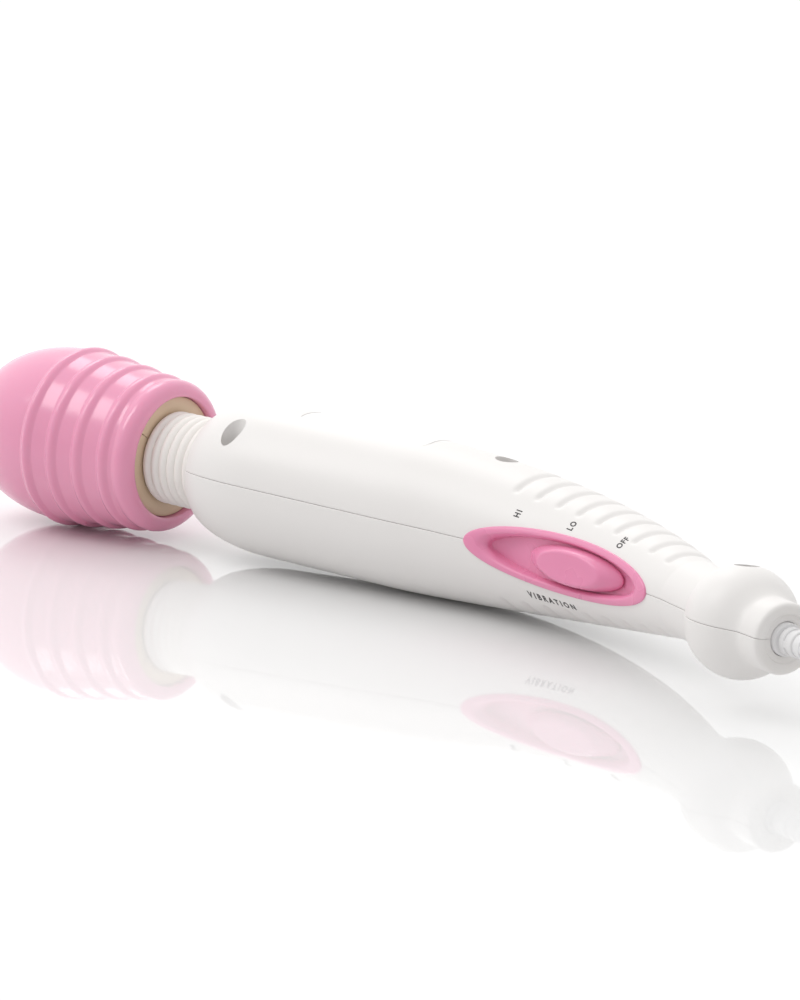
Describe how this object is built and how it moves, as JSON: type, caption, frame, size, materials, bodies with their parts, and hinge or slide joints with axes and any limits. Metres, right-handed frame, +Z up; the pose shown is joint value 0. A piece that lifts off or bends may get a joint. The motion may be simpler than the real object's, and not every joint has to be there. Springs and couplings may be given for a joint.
{
  "type": "handheld wand massager",
  "caption": "Corded wand massager: ribbed cushioned head on a flexible bellows neck, curved two-shell handle with a slide switch, and a mains lead with plug.",
  "frame": {"origin": "on the ground under the middle of the wand's box, the cord left out", "axes": "+X from the head towards the cord end, +Z up; the switch faces -Y and the joint of the shells lies near the XY plane, rolled 7 degrees about the wand's axis"},
  "size_m": [0.4864, 0.1329, 0.0568],
  "materials": {
    "head_vinyl": "gloss",
    "core_plastic": "satin",
    "shell_plastic": "satin",
    "sleeve_rubber": "satin",
    "switch_pink": "satin",
    "dark_plastic": "moulded",
    "screw_steel": "zinc plated",
    "spring_steel": "drawn wire",
    "bronze": "sintered",
    "shaft_steel": "ground",
    "weight_steel": "turned",
    "contact_brass": "tinned",
    "can_steel": "zinc plated",
    "magnet": "ferrite",
    "carbon": "carbon",
    "rotor_iron": "laminated",
    "mount_rubber": "soft",
    "board_laminate": "solder mask",
    "component_black": "moulded",
    "component_blue": "sleeved",
    "component_tan": "lacquered",
    "lead_pvc": "satin",
    "cord_pvc": "satin",
    "tie_plastic": "satin",
    "plate_film": "satin"
  },
  "bodies": {
    "handle": {"neck_socket_rear": "dark_plastic", "shell_upper": "shell_plastic", "shell_lower": "shell_plastic", "shell_screws": "screw_steel", "rating_plate": "plate_film", "switch_bezel": "switch_pink", "switch_body": "dark_plastic", "switch_pins": "contact_brass", "switch_screws": "screw_steel", "motor_can": "can_steel", "motor_end_cap": "dark_plastic", "motor_magnets": "magnet", "motor_bushes": "bronze", "motor_brushes": "carbon", "motor_mount_front": "mount_rubber", "motor_mount_rear": "mount_rubber", "circuit_board": "board_laminate", "bridge_diodes": "component_black", "board_capacitor": "component_blue", "board_resistors": "component_tan", "board_screws": "screw_steel", "inner_leads": "lead_pvc", "strain_relief": "cord_pvc", "cord": "cord_pvc", "cord_coil": "cord_pvc", "cord_tail": "cord_pvc", "cord_tie": "tie_plastic", "plug_body": "cord_pvc", "plug_blades": "contact_brass"},
    "neck": {"neck_spring": "spring_steel", "neck_sleeve": "sleeve_rubber"},
    "head": {"head_cushion": "head_vinyl", "head_core_upper": "core_plastic", "head_core_lower": "core_plastic", "core_screws": "screw_steel", "bearing_rear": "bronze", "bearing_front": "bronze", "neck_socket_front": "dark_plastic"},
    "eccentric": {"eccentric_shaft": "shaft_steel", "eccentric_weight": "weight_steel", "weight_screw": "screw_steel", "drive_hub_front": "bronze"},
    "rotor": {"motor_rotor": "rotor_iron", "drive_hub_rear": "bronze", "drive_spring": "spring_steel"},
    "slider": {"switch_knob": "switch_pink", "switch_actuator": "dark_plastic"}
  },
  "joints": [
    {"name": "neck_yaw", "type": "hinge", "parent": "handle", "child": "neck", "pos_m": [-0.0959, 0.02289, 0.02653], "axis": [0.0372, 0.1219, 0.9918], "range_deg": [-10, 10], "stiffness_Nm_per_rad": 2, "deforming": ["neck_sleeve", "neck_spring", "drive_spring"]},
    {"name": "neck_pitch", "type": "hinge", "parent": "neck", "child": "head", "pos_m": [-0.1039, 0.02289, 0.02683], "axis": [-0.0046, 0.9925, -0.1218], "range_deg": [-10, 10], "stiffness_Nm_per_rad": 2, "deforming": ["neck_sleeve", "neck_spring", "drive_spring"]},
    {"name": "motor_spin", "type": "hinge", "parent": "handle", "child": "rotor", "pos_m": [-0.03994, 0.02289, 0.02443], "axis": [-0.9993, 0, 0.0375], "continuous": true},
    {"name": "eccentric_spin", "type": "hinge", "parent": "head", "child": "eccentric", "pos_m": [-0.13987, 0.02289, 0.02819], "axis": [-0.9993, 0, 0.0375], "continuous": true},
    {"name": "knob_slide", "type": "slide", "parent": "handle", "child": "slider", "axis": [-0.9769, 0.2133, 0.0105], "range_m": [0, 0.009]}
  ],
  "couplings": [
    {"joint": "eccentric_spin", "follows": "motor_spin", "ratio": 1}
  ]
}
